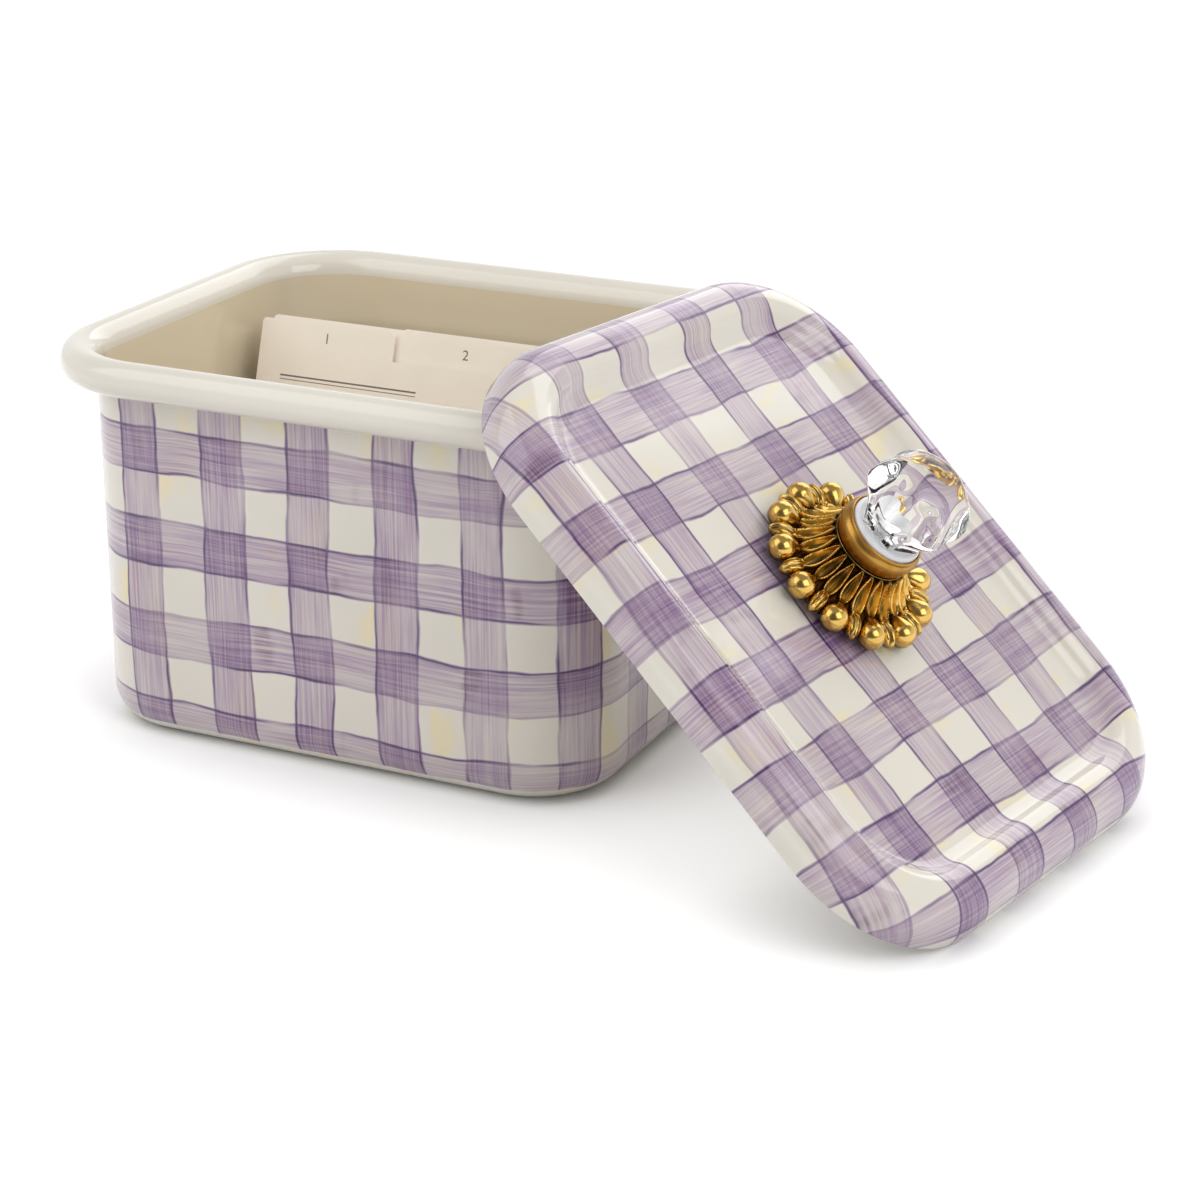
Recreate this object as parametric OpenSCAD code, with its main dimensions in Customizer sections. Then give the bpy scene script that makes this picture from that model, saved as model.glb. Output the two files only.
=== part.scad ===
// Recipe card box: a rolled-rim sheet metal tub, a lift-off lid with a glass knob,
// six tabbed divider cards and a pack of plain cards.
// Millimetres. Origin at the centre of the tub's underside: X along the long side,
// Y from front to back, Z up.

/* [Placement] */
// Lid leaning on the tub with one end on the table, or closed on the rim
lid_place = "leaning"; // [leaning, closed]
// Turn of the leaning lid about the vertical (degrees)
lean_yaw = -10.37; // [-14:0.01:-6]
// Distance from the tub's right side to the middle of the lid's lower edge, as a share of lid length
lean_reach = 0.605; // [0.58:0.005:0.66]
// Shift of the middle of the lid's lower edge from the tub's centre line (mm)
lean_shift = -51; // [-60:1:-45]

/* [Tub] */
// Length over the rolled rim (mm)
box_length = 200.5; // [165:0.5:242]
// Width over the rolled rim (mm)
box_width = 166.5; // [138:0.5:200]
// Height to the top of the rim (mm)
box_height = 124.5; // [103:0.5:150]
// Corner radius over the rolled rim (mm)
rim_corner = 40.5; // [33:0.5:49]
// Diameter of the rolled rim (mm)
roll_diameter = 11.3; // [9:0.1:13.6]
// Radius between wall and floor (mm)
foot_radius = 11; // [8:0.5:14]
// Thickness of the sheet metal (mm)
sheet = 1.2; // [0.9:0.1:1.5]

/* [Lid] */
// Clearance between rim and lid skirt, each side (mm)
lid_clearance = 0.8; // [0.5:0.1:1.4]
// Height of the lid without its knob (mm)
lid_height = 14.5; // [13:0.1:18]
// Radius of the raised border's outer shoulder (mm)
shoulder_radius = 11.5; // [10.5:0.1:12.5]
// Width of the raised border, from skirt to flat panel (mm)
border_width = 23; // [21:0.5:28]
// Drop from the border's crest to the flat panel (mm)
panel_drop = 5.4; // [4.2:0.1:6.4]

/* [Knob] */
// Knob's distance from the lid's middle, towards the lid's upper end (mm)
knob_up = 1.6; // [-3:0.1:3]
// Knob's distance from the lid's middle, across the lid (mm)
knob_across = 2.1; // [-3:0.1:3]
// Radius of the circle that the plate's balls sit on (mm)
ball_circle = 25.1; // [22:0.1:31]
// Radius of each ball on the plate (mm)
ball_radius = 4.1; // [3.4:0.1:5]
// Number of balls round the plate
ball_count = 12; // [8:1:14]
// Height of the fluted plate above the panel (mm)
plate_height = 15.6; // [11:0.1:16]
// Outer radius of the smooth collar (mm)
collar_radius = 13.2; // [11.5:0.1:15]
// Height of the smooth collar (mm)
collar_height = 7; // [5.5:0.1:8.5]
// Thickness of the white disc under the glass (mm)
disc_thickness = 2.4; // [1.8:0.1:3.2]
// Largest radius of the glass knob (mm)
knob_radius = 16.5; // [14:0.1:19.8]
// Height of the glass knob (mm)
knob_height = 24.8; // [23:0.1:32]
// Radius over the corners of the knob's hexagonal neck (mm)
neck_radius = 10.6; // [9:0.1:11.2]
// Radius of the threaded stud (mm)
stud_radius = 1.95; // [1.6:0.01:2.34]

/* [Cards] */
// Width of the cards (mm)
card_width = 152.4; // [127:0.1:160]
// Height of the plain cards (mm)
card_height = 101.6; // [85:0.1:104]
// Height of the divider cards to the top of the tab (mm)
divider_height = 114.3; // [96:0.1:115]
// Height of a tab (mm)
tab_height = 9.4; // [8:0.1:12]
// Thickness of a divider card (mm)
divider_thickness = 0.5; // [0.4:0.05:0.7]
// Thickness of a plain card (mm)
card_thickness = 0.4; // [0.3:0.05:0.45]
// Distance from one divider to the next (mm)
divider_pitch = 1.5; // [1.1:0.05:1.8]
// Distance from one plain card to the next (mm)
card_pitch = 0.8; // [0.75:0.05:1]
// Number of plain cards
card_count = 24; // [4:1:30]
// Angle by which the cards lean back (degrees)
card_lean = 17.9; // [14:0.1:20]
// Front divider's lower edge, behind the tub's centre line (mm)
divider_start = -3.1; // [-8:0.1:0]

/* [Clearances] */
// Gap between pieces that rest on each other (mm)
seat_gap = 0.3; // [0.2:0.05:0.4]
// Gap round the stud in its holes (mm)
stud_gap = 0.3; // [0.2:0.05:0.5]
// Smallest gap between the cards' ends and the tub's inside (mm)
card_end_gap = 9; // [6:0.5:12]

/* [Hidden] */
$fn = 48;
nil = 0.01;
roll_radius = roll_diameter / 2;
wall_length = box_length - 4 * roll_radius;
wall_width = box_width - 4 * roll_radius;
wall_corner = rim_corner - 2 * roll_radius;
roll_centre = wall_corner + roll_radius;
roll_height = box_height - roll_radius;
flare_height = roll_height - sheet;
curl_end = -150;
curl_middle = -30;

lid_overhang = lid_clearance + sheet;
lid_length = box_length + 2 * lid_overhang;
lid_width = box_width + 2 * lid_overhang;
lid_corner = rim_corner + lid_overhang;
shoulder_base = lid_height - shoulder_radius;
crest = lid_corner - shoulder_radius;
panel_edge = lid_corner - border_width;
panel_top = lid_height - panel_drop;
panel_under = panel_top - sheet;
slope_run = crest - panel_edge;
slope_radius = (slope_run * slope_run + panel_drop * panel_drop) / (4 * panel_drop);
slope_angle = 2 * atan(panel_drop / slope_run);

// Where the leaning lid stands, and the angle at which its panel meets the rim's corner.
foot = [box_length / 2 + lean_reach * lid_length, lean_shift, 0];
lean_way = [-cos(lean_yaw), -sin(lean_yaw)];
arc_centre = [box_length / 2 - rim_corner, rim_corner - box_width / 2];
arc_reach = lean_way * [arc_centre[0] - foot[0], arc_centre[1] - foot[1]] - (rim_corner - roll_radius);
lean_stand = panel_under - roll_radius - seat_gap;
lean_angle = acos(lean_stand / norm([roll_height, arc_reach])) - atan2(arc_reach, roll_height);

// How far the closed lid's skirt reaches below the rim's top.
shoulder_aside = shoulder_radius - roll_radius - lid_overhang;
shoulder_rest = shoulder_radius - sheet - roll_radius - seat_gap;
shoulder_rise = sqrt(max(0, shoulder_rest * shoulder_rest - shoulder_aside * shoulder_aside));
closed_drop = shoulder_base + shoulder_rise + roll_radius;

hole_radius = stud_radius + stud_gap;
plate_base = panel_top + seat_gap;
plate_top = panel_top + plate_height;
plate_edge = ball_circle - 1.2;
ball_height = panel_top + ball_radius + 1.2;
plate_rim = ball_height - 0.4;
flute_foot = ball_circle - 2.6;
flute_count = 2 * ball_count;
// Turn of the first ball from the lid's lower end (degrees).
ball_turn = -3;
flute_radius = 1.15;
plate_neck = collar_radius - 0.8;
plate_wall = 2;
plate_boss = hole_radius + 2.5;
plate_run = plate_edge - plate_neck;
plate_fall = plate_top - plate_rim;
half_slant = norm([plate_run, plate_fall]) / 2;
flare_radius = 2.4 * half_slant;
flare_lift = sqrt(flare_radius * flare_radius - half_slant * half_slant) / (2 * half_slant);
flare_centre = [plate_neck + plate_run / 2 + plate_fall * flare_lift,
    plate_top - plate_fall / 2 + plate_run * flare_lift];
tip_radius = 2.5;
collar_base = plate_top + seat_gap;
collar_top = collar_base + collar_height;
collar_wall = 1.8;
collar_web = 1.6;
recess_radius = collar_radius - 1.5;
recess_depth = 1.5;
disc_radius = recess_radius - seat_gap;
disc_base = collar_top - recess_depth + seat_gap;
disc_top = disc_base + disc_thickness;
knob_base = disc_top + seat_gap;
knob_top = knob_base + knob_height;
neck_height = 5;
head_base = knob_base + 3.8;
head_widest = knob_base + 0.54 * knob_height;
dome_rise = knob_top - head_widest;
dome_radius = (knob_radius * knob_radius + dome_rise * dome_rise) / (2 * dome_rise);
lobe_count = 6;
lobe_radius = 0.46 * knob_radius;
insert_radius = hole_radius + 0.7;
insert_length = 0.22 * knob_height;
insert_bore = insert_radius + seat_gap;
stud_top = knob_base + insert_length - 1.5;
washer_radius = 2.3 * stud_radius;
washer_thickness = 0.8;
washer_top = panel_under - seat_gap;
nut_top = washer_top - washer_thickness - seat_gap;
nut_height = 1.5 * stud_radius;
nut_radius = 2.05 * stud_radius;
stud_end = 1.4;
stud_base = nut_top - nut_height - stud_end;

card_span = min(card_width, wall_length - 2 * sheet - 2 * card_end_gap);
card_corner = 2.5;
divider_aside = [-3.3, -2.8, -2.4, -1.8, -2.6, -2.1];
// How far a card's lower corners reach past the flat floor, onto the rounded foot.
foot_overlap = max(0, card_span / 2 - min(divider_aside) - card_corner
    - (wall_length / 2 - foot_radius));
foot_room = foot_radius - sheet - card_corner - seat_gap;
card_floor = sheet + seat_gap + foot_room - sqrt(max(0, foot_room ^ 2 - foot_overlap ^ 2));
tab_room = box_height - closed_drop - 3 - card_floor;
divider_rise = min(divider_height, tab_room / cos(card_lean));
card_rise = min(card_height, divider_rise - tab_height - 1);
tab_corner = 1.6;
tab_overlap = 1.2;
divider_step = divider_pitch / cos(card_lean);
card_step = card_pitch / cos(card_lean);
pack_start = divider_start + 6 * divider_step + 0.5;
// The last card slides up its own plane and just passes inside the tub's rounded back corners.
corner_aside = max(0, card_span / 2 + 0.8 - (wall_length / 2 - wall_corner));
corner_reach = sqrt((wall_corner - sheet) * (wall_corner - sheet) - corner_aside * corner_aside);
pack_limit = wall_width / 2 - wall_corner + corner_reach - 0.6
    - (roll_height - card_floor) * tan(card_lean);
pack_count = max(1, min(card_count, 1 + floor((pack_limit - pack_start) / card_step)));
pack_aside = [0.3, -0.4, 0.6, 0.1, -0.6, 0.5, -0.2];

// Part of a flat ring, between two angles less than 150 degrees apart.
module band(inside, outside, from, to)
{
    reach = 2.2 * outside;
    middle = (from + to) / 2;
    intersection()
    {
        difference()
        {
            circle(r = outside);
            circle(r = inside);
        }
        polygon([[0, 0], reach * [cos(from), sin(from)],
            reach * [cos(middle), sin(middle)], reach * [cos(to), sin(to)]]);
    }
}

// Carries a section, drawn outwards from a corner's centre, round a rounded rectangle.
module swept(length, width, corner)
{
    across = length / 2 - corner;
    along = width / 2 - corner;
    translate([across, along, 0])
        rotate_extrude(angle = 90) children();
    translate([-across, along, 0]) rotate([0, 0, 90])
        rotate_extrude(angle = 90) children();
    translate([-across, -along, 0]) rotate([0, 0, 180])
        rotate_extrude(angle = 90) children();
    translate([across, -along, 0]) rotate([0, 0, 270])
        rotate_extrude(angle = 90) children();
    for (turn = [0, 180])
    {
        rotate([0, 0, turn]) translate([across, along, 0]) rotate([90, 0, 0])
            linear_extrude(height = 2 * along) children();
        rotate([0, 0, turn + 90]) translate([along, across, 0]) rotate([90, 0, 0])
            linear_extrude(height = 2 * across) children();
    }
}

module tub_section()
{
    square([wall_corner - foot_radius, sheet]);
    translate([wall_corner - foot_radius, foot_radius])
        band(foot_radius - sheet, foot_radius, -90, 0);
    translate([wall_corner - sheet, foot_radius])
        square([sheet, flare_height - foot_radius]);
    translate([roll_centre, flare_height])
        band(roll_radius, roll_radius + sheet, 90, 180);
    translate([roll_centre, roll_height])
    {
        band(roll_radius - sheet, roll_radius, curl_middle, 90);
        band(roll_radius - sheet, roll_radius, curl_end, curl_middle);
    }
}

// Pressed tub: flat floor, rounded foot, upright wall, flared and curled rim.
module tub()
{
    color([0.86, 0.84, 0.79])
    {
        swept(wall_length, wall_width, wall_corner) tub_section();
        translate([wall_corner - wall_length / 2, wall_corner - wall_width / 2, 0])
            cube([wall_length - 2 * wall_corner, wall_width - 2 * wall_corner, sheet]);
    }
}

// Everything on the lid is built about its skirt's lower plane and then put in its place.
module lid_position()
{
    if (lid_place == "closed")
        translate([0, 0, box_height - closed_drop]) children();
    else
        translate(foot) rotate([0, 0, lean_yaw]) rotate([0, lean_angle, 0])
            translate([-lid_length / 2, 0, 0]) children();
}

// The knob's own axis, a little off the lid's middle.
module knob_position()
{
    lid_position() translate([-knob_up, knob_across, 0]) children();
}

module lid_section()
{
    translate([lid_corner - sheet, 0])
        square([sheet, shoulder_base]);
    translate([crest, shoulder_base])
        band(shoulder_radius - sheet, shoulder_radius, 0, 90);
    translate([crest, lid_height - slope_radius])
        band(slope_radius - sheet, slope_radius, 90, 90 + slope_angle);
    translate([panel_edge, panel_top + slope_radius])
        band(slope_radius, slope_radius + sheet, -90, slope_angle - 90);
    translate([0, panel_under])
        square([panel_edge, sheet]);
}

// Pressed lid: skirt, raised rounded border and sunken panel with the stud's hole.
module lid_pan()
{
    color([0.74, 0.68, 0.80])
        lid_position()
            difference()
            {
                union()
                {
                    swept(lid_length, lid_width, lid_corner) lid_section();
                    translate([lid_corner - lid_length / 2, lid_corner - lid_width / 2, panel_under])
                        cube([lid_length - 2 * lid_corner, lid_width - 2 * lid_corner, sheet]);
                }
                translate([-knob_up, knob_across, panel_under - 1])
                    cylinder(r = hole_radius, h = sheet + 2);
            }
}

// Outline of the cast plate: flat foot ring, low rim, hollow flare up to the collar, open below.
module plate_section()
{
    difference()
    {
        polygon([[hole_radius, plate_base], [plate_edge - 2.5, plate_base],
            [plate_edge, plate_base + 2.5], [plate_edge, plate_rim],
            [plate_neck, plate_top], [hole_radius, plate_top]]);
        translate(flare_centre) circle(r = flare_radius);
        difference()
        {
            polygon([[plate_boss, plate_base - 1], [plate_edge - 4.1, plate_base - 1],
                [plate_edge - 4.1, plate_rim], [plate_neck, plate_top - 3],
                [plate_boss, plate_top - 3]]);
            translate(flare_centre) circle(r = flare_radius + plate_wall);
        }
    }
}

// Cast plate under the knob, with balls, leaf tips and raised flutes.
module escutcheon()
{
    fall = plate_top - 1.2 - plate_rim;
    run = flute_foot - plate_neck;
    color([0.80, 0.60, 0.22])
        knob_position()
        {
            rotate_extrude() plate_section();
            for (i = [0 : ball_count - 1])
            {
                rotate([0, 0, ball_turn + i * 360 / ball_count])
                    translate([ball_circle, 0, ball_height]) sphere(r = ball_radius);
                rotate([0, 0, ball_turn + (i + 0.5) * 360 / ball_count])
                    translate([ball_circle - 0.6, 0, ball_height - 1]) sphere(r = tip_radius);
            }
            for (i = [0 : flute_count - 1])
                rotate([0, 0, ball_turn + i * 360 / flute_count])
                    translate([plate_neck, 0, plate_top - 1.6])
                        rotate([0, 90 + atan(fall / run), 0])
                            cylinder(r = flute_radius, h = norm([fall, run]));
        }
}

// Smooth collar with a bulged side, open below, and a recess on top for the white disc.
module collar_ring()
{
    bulge = 20;
    color([0.78, 0.52, 0.24])
        knob_position()
            rotate_extrude()
                difference()
                {
                    intersection()
                    {
                        translate([hole_radius, collar_base])
                            square([collar_radius - hole_radius, collar_height]);
                        translate([collar_radius - bulge, collar_base + 0.45 * collar_height])
                            circle(r = bulge);
                    }
                    translate([hole_radius - 1, collar_top - recess_depth])
                        square([recess_radius - hole_radius + 1, recess_depth + 1]);
                    translate([plate_boss, collar_base - 1])
                        square([collar_radius - collar_wall - plate_boss,
                            collar_height + 1 - recess_depth - collar_web]);
                }
}

// White disc between the collar and the glass.
module seat_disc()
{
    edge = 0.6;
    color([0.93, 0.93, 0.94])
        knob_position()
            rotate_extrude()
            {
                translate([hole_radius, disc_base])
                    square([disc_radius - edge - hole_radius, disc_thickness]);
                translate([hole_radius, disc_base])
                    square([disc_radius - hole_radius, disc_thickness - edge]);
                translate([disc_radius - edge, disc_top - edge])
                    circle(r = edge);
            }
}

// Clear knob: hexagonal neck, six-lobed head under a dome, blind bore from below.
module glass_knob()
{
    color([0.85, 0.88, 0.90, 0.5])
        knob_position()
            difference()
            {
                union()
                {
                    translate([0, 0, knob_base])
                        cylinder(r = neck_radius, h = neck_height, $fn = 6);
                    intersection()
                    {
                        translate([0, 0, knob_top - dome_radius])
                            sphere(r = dome_radius);
                        translate([0, 0, head_base])
                            cylinder(r1 = neck_radius * 0.9, r2 = knob_radius,
                                h = head_widest - head_base + nil);
                        lobes();
                    }
                    intersection()
                    {
                        translate([0, 0, knob_top - dome_radius])
                            sphere(r = dome_radius);
                        translate([0, 0, head_widest])
                            cylinder(r = knob_radius, h = dome_rise + 1);
                        lobes();
                    }
                }
                translate([0, 0, knob_base - 1])
                    cylinder(r = insert_bore, h = insert_length + 1 + seat_gap);
            }
}

// Six upright lobes that give the head its scalloped outline.
module lobes()
{
    translate([0, 0, head_base - 1])
        linear_extrude(height = knob_top - head_base + 2)
        {
            circle(r = 0.8 * knob_radius);
            for (i = [0 : lobe_count - 1])
                rotate([0, 0, 30 + i * 360 / lobe_count])
                    translate([knob_radius - lobe_radius, 0]) circle(r = lobe_radius);
        }
}

// White blind sleeve fixed in the knob's bore.
module knob_insert()
{
    color([0.93, 0.93, 0.94])
        knob_position()
            translate([0, 0, knob_base])
                difference()
                {
                    cylinder(r = insert_radius, h = insert_length);
                    translate([0, 0, -1]) cylinder(r = hole_radius, h = insert_length);
                }
}

// Stud from the nut under the panel up into the sleeve.
module knob_stud()
{
    color([0.70, 0.70, 0.72])
        knob_position()
            translate([0, 0, stud_base]) cylinder(r = stud_radius, h = stud_top - stud_base);
}

module stud_washer()
{
    color([0.72, 0.72, 0.74])
        knob_position()
            translate([0, 0, washer_top - washer_thickness])
                difference()
                {
                    cylinder(r = washer_radius, h = washer_thickness);
                    translate([0, 0, -1]) cylinder(r = hole_radius, h = washer_thickness + 2);
                }
}

module stud_nut()
{
    color([0.66, 0.66, 0.68])
        knob_position()
            translate([0, 0, nut_top - nut_height])
                difference()
                {
                    cylinder(r = nut_radius, h = nut_height, $fn = 6);
                    translate([0, 0, -1]) cylinder(r = hole_radius, h = nut_height + 2);
                }
}

// Rectangle with rounded corners, lower left corner at the origin.
module rounded(width, height, corner)
{
    translate([corner, 0]) square([width - 2 * corner, height]);
    translate([0, corner]) square([width, height - 2 * corner]);
    for (x = [corner, width - corner])
        for (y = [corner, height - corner])
            translate([x, y]) circle(r = corner);
}

// Stands a flat sheet up on the tub's floor, leaning back, a given way off the centre line.
module card_position(aside, behind, thickness)
{
    translate([aside - card_span / 2, behind, card_floor])
        rotate([90 - card_lean, 0, 0])
            linear_extrude(height = thickness) children();
}

// Divider card: index 0 at the front, tab in the left, middle or right third.
module divider(index)
{
    third = card_span / 3;
    place = index % 3;
    color([0.93, 0.88, 0.79])
        card_position(divider_aside[index], divider_start + index * divider_step, divider_thickness)
        {
            rounded(card_span, divider_rise - tab_height, card_corner);
            translate([place * third - (place > 0 ? tab_overlap : 0), divider_rise - 2.5 * tab_height])
                rounded(third + (place > 0 ? tab_overlap : 0), 2.5 * tab_height, tab_corner);
        }
}

module divider_1()
{
    divider(0);
}

module divider_2()
{
    divider(1);
}

module divider_3()
{
    divider(2);
}

module divider_4()
{
    divider(3);
}

module divider_5()
{
    divider(4);
}

module divider_6()
{
    divider(5);
}

// Pack of plain cards behind the dividers, each a sheet of its own.
module recipe_cards()
{
    color([0.95, 0.92, 0.85])
        for (i = [0 : pack_count - 1])
            card_position(pack_aside[i % 7], pack_start + i * card_step, card_thickness)
                rounded(card_span, card_rise, card_corner);
}

tub();
lid_pan();
escutcheon();
collar_ring();
seat_disc();
glass_knob();
knob_insert();
knob_stud();
stud_washer();
stud_nut();
divider_1();
divider_2();
divider_3();
divider_4();
divider_5();
divider_6();
recipe_cards();
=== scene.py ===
"""Looks for the recipe card box: enamelled tub and lid, cast plate, glass knob, cards, studio."""
import math

import bmesh
import bpy
from bmesh.types import BMEdge, BMFace, BMVert
from bpy.props import BoolProperty, FloatProperty, FloatVectorProperty, IntProperty, PointerProperty
from bpy.types import Operator, Panel, PropertyGroup
from mathutils import Matrix, Vector


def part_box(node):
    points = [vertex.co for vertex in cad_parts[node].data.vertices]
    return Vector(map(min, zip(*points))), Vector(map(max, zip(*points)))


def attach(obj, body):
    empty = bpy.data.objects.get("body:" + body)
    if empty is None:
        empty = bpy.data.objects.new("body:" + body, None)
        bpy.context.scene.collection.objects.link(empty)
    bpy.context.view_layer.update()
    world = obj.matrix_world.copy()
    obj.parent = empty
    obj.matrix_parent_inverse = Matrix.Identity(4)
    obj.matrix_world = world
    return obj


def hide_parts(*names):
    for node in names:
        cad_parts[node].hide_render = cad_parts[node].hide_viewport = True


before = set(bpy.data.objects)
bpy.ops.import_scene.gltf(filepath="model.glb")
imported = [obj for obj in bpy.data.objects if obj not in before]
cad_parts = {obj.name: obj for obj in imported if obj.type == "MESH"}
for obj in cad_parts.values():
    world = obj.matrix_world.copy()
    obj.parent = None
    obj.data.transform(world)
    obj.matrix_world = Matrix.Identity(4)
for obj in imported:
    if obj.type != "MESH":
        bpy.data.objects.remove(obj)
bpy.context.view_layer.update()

bl_info = {
    "name": "Recipe Card Box",
    "version": (1, 0, 0),
    "blender": (4, 5, 0),
    "location": "View3D > Sidebar > Card Box",
    "description": "Enamelled card box with a leaning lid, its knob, its cards and a studio",
    "category": "Object",
}

TURN = 2 * math.pi


def linear(hex_colour):
    """An sRGB hex colour as linear red, green and blue."""
    parts = [int(hex_colour[i:i + 2], 16) / 255 for i in (0, 2, 4)]
    return tuple(c / 12.92 if c <= 0.04045 else ((c + 0.055) / 1.055) ** 2.4 for c in parts)


def length(name, description, default):
    """A size in metres, shown in the scene's length unit."""
    return FloatProperty(name=name, description=description, default=default,
                         min=0, precision=5, unit="LENGTH")


def rotation(name, description, default):
    """An angle in radians, shown in the scene's unit."""
    return FloatProperty(name=name, description=description, default=default, unit="ROTATION")


def colour(name, description, hex_colour):
    """A colour that a user can change, kept as linear light."""
    return FloatVectorProperty(name=name, description=description, default=linear(hex_colour),
                               size=3, min=0, max=1, subtype="COLOR")


class TubSizes(PropertyGroup):
    """Sizes of the open box."""
    length: length("Length", "Length over the rolled rim", 0.2005)
    width: length("Width", "Width over the rolled rim", 0.1665)
    height: length("Height", "Height to the rim's top", 0.1245)
    corner: length("Corner", "Corner radius over the rim", 0.0405)
    roll: length("Roll radius", "Radius of the rolled rim", 0.00565)
    foot: length("Foot radius", "Radius between wall and floor", 0.011)
    sheet: length("Sheet", "Thickness of the sheet metal", 0.0012)
    band: length("Painted band", "Width of one brushed band", 0.0149)


class LidSizes(PropertyGroup):
    """Sizes of the lid and the way it leans."""
    overhang: length("Overhang", "How far the skirt stands outside the rim", 0.002)
    height: length("Height", "Height of the pressed lid", 0.0145)
    shoulder: length("Shoulder", "Radius of the border's outer shoulder", 0.0115)
    border: length("Border", "Width of the raised border", 0.023)
    drop: length("Drop", "Drop from the border's crest to the panel", 0.0054)
    gap: length("Gap", "Gap between pieces that rest on each other", 0.0003)
    shift: FloatProperty(name="Shift", description="Lower edge's middle from the tub's centre line",
                         default=-0.051, precision=5, unit="LENGTH")
    reach: FloatProperty(name="Reach", description="Distance of the lower edge, in lid lengths",
                         default=0.605, min=0.5, max=0.8)
    yaw: rotation("Turn", "Turn of the leaning lid about the vertical", math.radians(-10.37))


class KnobSizes(PropertyGroup):
    """Sizes of the plate, collar, disc and glass."""
    up: length("Up", "Knob's distance from the lid's middle, towards its upper end", 0.0016)
    across: length("Across", "Knob's distance from the lid's middle, across the lid", 0.0021)
    ball_circle: length("Ball circle", "Radius that the plate's balls sit on", 0.0251)
    ball: length("Ball radius", "Radius of each ball", 0.0041)
    balls: IntProperty(name="Balls", description="Number of balls round the plate", default=12, min=6)
    ball_turn: rotation("Ball turn", "Turn of the first ball from the lower end", math.radians(-3))
    plate: length("Plate height", "Height of the fluted plate", 0.0156)
    relief: length("Relief", "Depth of the cast hollows", 0.0016)
    collar: length("Collar radius", "Outer radius of the smooth collar", 0.0132)
    collar_height: length("Collar height", "Height of the smooth collar", 0.007)
    disc: length("Disc thickness", "Thickness of the white disc", 0.0024)
    glass: length("Glass radius", "Largest radius of the glass", 0.0165)
    glass_height: length("Glass height", "Height of the glass", 0.0248)
    neck: length("Neck radius", "Radius over the neck's corners", 0.0106)
    stud: length("Stud radius", "Radius of the threaded stud", 0.00195)


class CardSizes(PropertyGroup):
    """Sizes of the printing on the divider cards."""
    lean: rotation("Lean", "Angle by which the cards lean back", math.radians(17.9))
    numeral: length("Numeral height", "Height of the printed numerals", 0.0034)
    ink: length("Ink", "Thickness that stands for the ink", 0.00003)
    rule: length("Rule width", "Width of a printed rule", 0.00035)
    tab: length("Tab height", "Height of a divider's tab", 0.0094)


class FinishColours(PropertyGroup):
    """Colours of the finishes."""
    cream: colour("Cream", "Enamel ground", "E2DCD0")
    inside: colour("Inside", "Enamel inside the tub", "DDD0B5")
    wash: colour("Wash", "Colour that one brushed band multiplies the ground by", "BBA3CC")
    pool: colour("Pool", "Colour where the paint has pooled", "7A62A0")
    gold: colour("Gold", "Polished high parts of the casting", "DDB766")
    # The same dark brown is also painted as shade under the balls and leaves and just below the collar.
    patina_and_shade: colour("Patina", "Dark recesses of the casting", "2C1804")
    collar: colour("Collar", "Smooth collar", "B68B42")
    card: colour("Card", "Divider card stock", "FBF2E5")
    paper: colour("Paper", "Plain card stock", "F7F0E4")
    ink: colour("Ink", "Printed numerals and rules", "6E6660")


class StudioSettings(PropertyGroup):
    """Camera, lamps and floor."""
    azimuth: rotation("Azimuth", "Camera to the right of straight on", 0.4445)
    elevation: rotation("Elevation", "Camera above level", 0.3562)
    distance: length("Distance", "Camera to the point that it looks at", 0.9183)
    lens: FloatProperty(name="Lens", description="Focal length for a 36 mm wide sensor",
                        default=87.10, min=10)
    aim: FloatVectorProperty(name="Aim", description="Point that the camera looks at",
                             default=(0.0609, 0.00007, 0.0416), size=3, subtype="XYZ", unit="LENGTH")
    floor: BoolProperty(name="Floor", description="Lay a white floor under the box", default=True)


SETTINGS = {"tub": TubSizes, "lid": LidSizes, "knob": KnobSizes, "cards": CardSizes,
            "finish": FinishColours, "studio": StudioSettings}


def settings(name):
    """One group of this add-on's settings."""
    return getattr(bpy.context.scene, "card_box_" + name)


# Materials

MM = 0.001
SOFT = {"interpolation_type": "SMOOTHSTEP"}
BLEND = {"data_type": "RGBA"}
GLAZE = {"data_type": "RGBA", "blend_type": "MULTIPLY"}


def put(tree, kind, feeds=(), **options):
    """Adds one node. feeds gives its sockets, in order or by name, a value, a node or an output."""
    node = tree.nodes.new("ShaderNode" + kind)
    for key, value in options.items():
        setattr(node, key, value)
    for socket, feed in feeds.items() if isinstance(feeds, dict) else enumerate(feeds):
        entry = node.inputs[socket]
        if isinstance(feed, bpy.types.Node):
            feed = next(out for out in feed.outputs if out.enabled)
        if isinstance(feed, bpy.types.NodeSocket):
            tree.links.new(feed, entry)
        elif entry.type == "RGBA":
            entry.default_value = (*feed[:3], 1)
        else:
            entry.default_value = feed
    return node


def start_finish(name):
    """An empty material: the material, its tree, and the point on the piece in metres."""
    material = bpy.data.materials.new(name)
    material.use_nodes = True
    tree = material.node_tree
    tree.nodes.clear()
    return material, tree, put(tree, "TexCoord").outputs["Object"]


def patches(tree, point, size, low, high, detail=2.0, most=1.0):
    """Soft patches about one size across, from nothing to most."""
    cloud = put(tree, "TexNoise", {"Vector": point, "Scale": 1 / size, "Detail": detail})
    return put(tree, "MapRange", (cloud, low, high, 0.0, most), **SOFT)


def strokes(tree, point, wide, long, detail, roughness=0.5):
    """A cloud drawn out into strokes of one width and length."""
    drawn = put(tree, "Mapping", {"Vector": point, "Scale": (1 / wide, 1 / long, 1)})
    return put(tree, "TexNoise", {"Vector": drawn, "Scale": 1.0, "Detail": detail, "Roughness": roughness})


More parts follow.
